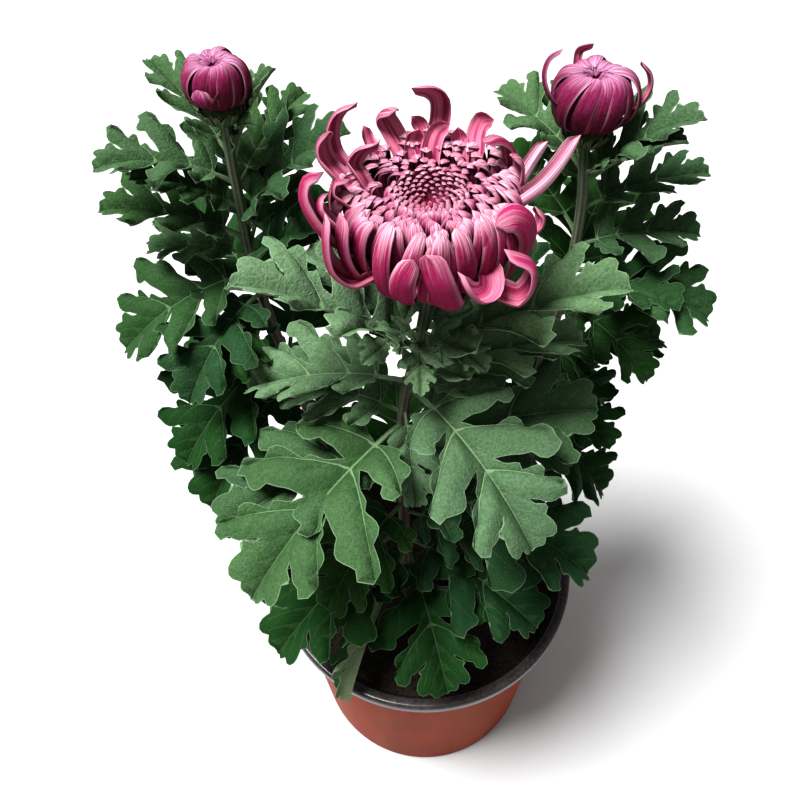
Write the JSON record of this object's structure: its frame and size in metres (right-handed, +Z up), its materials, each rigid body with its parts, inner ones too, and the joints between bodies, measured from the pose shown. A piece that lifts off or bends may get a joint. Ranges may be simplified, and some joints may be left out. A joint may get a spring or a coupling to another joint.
{
  "type": "potted chrysanthemum",
  "caption": "Chrysanthemum in a plastic nursery pot: upright leafy stems with lobed leaves, an open incurved bloom and half-open side buds over a bed of peat.",
  "frame": {"origin": "middle of the pot's flat underside, on the surface that it stands on", "axes": "+Z up along the pot's axis and the plant's height; -Y towards the viewer's side, where the open bloom's stem stands; +X to the viewer's right"},
  "size_m": [0.2772, 0.2215, 0.462],
  "materials": {
    "pot_plastic": "thin satin terracotta-coloured plastic, with a glossy brown-black rolled rim and inside",
    "peat": "dark crumbly moist peat",
    "foliage": "finely downy dark green leaves with pale veins and rims, grey-green beneath; ribbed grey-green stems",
    "petals": "silky streaked petals, silvery pink outside and deep crimson inside"
  },
  "bodies": {
    "root": {"pot": "pot_plastic", "soil": "peat", "leafy_stem_front": "foliage", "leafy_stem_left": "foliage", "leafy_stem_right": "foliage", "bloom_front": "petals", "bud_left": "petals", "bud_right": "petals"}
  },
  "joints": []
}
